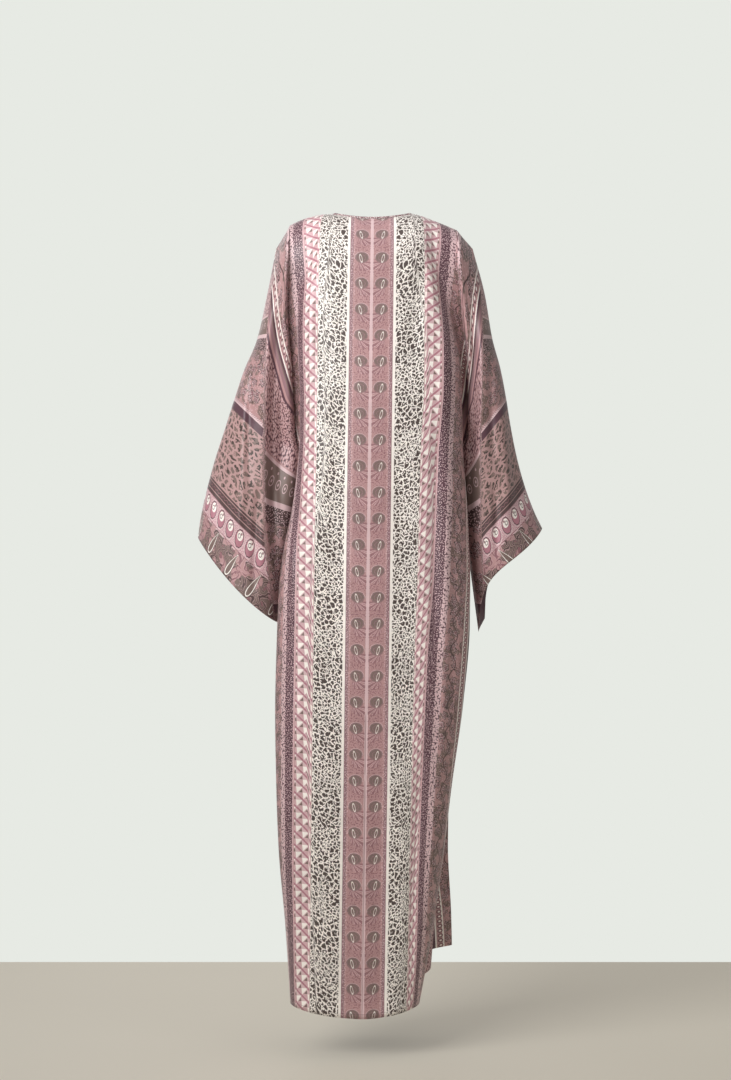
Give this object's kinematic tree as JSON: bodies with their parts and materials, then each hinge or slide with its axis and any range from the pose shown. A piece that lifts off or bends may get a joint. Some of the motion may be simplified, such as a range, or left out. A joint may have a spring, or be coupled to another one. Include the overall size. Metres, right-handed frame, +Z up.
{
  "type": "kaftan",
  "caption": "Loose ankle-length kaftan with wide sleeves cut in one with the body, as worn, hollow and open at neck, cuffs and hem.",
  "frame": {"origin": "base of the neck, midway between the shoulders, on the shoulder line", "axes": "+Z up, -Y towards the garment's front, +X towards the wearer's left"},
  "size_m": [0.6621, 0.2537, 1.5105],
  "materials": {
    "satin_back": "printed satin",
    "satin_front": "printed satin",
    "satin_binding": "printed satin"
  },
  "bodies": {
    "root": {"back": "satin_back", "front": "satin_front", "neck_binding": "satin_binding"}
  },
  "joints": []
}
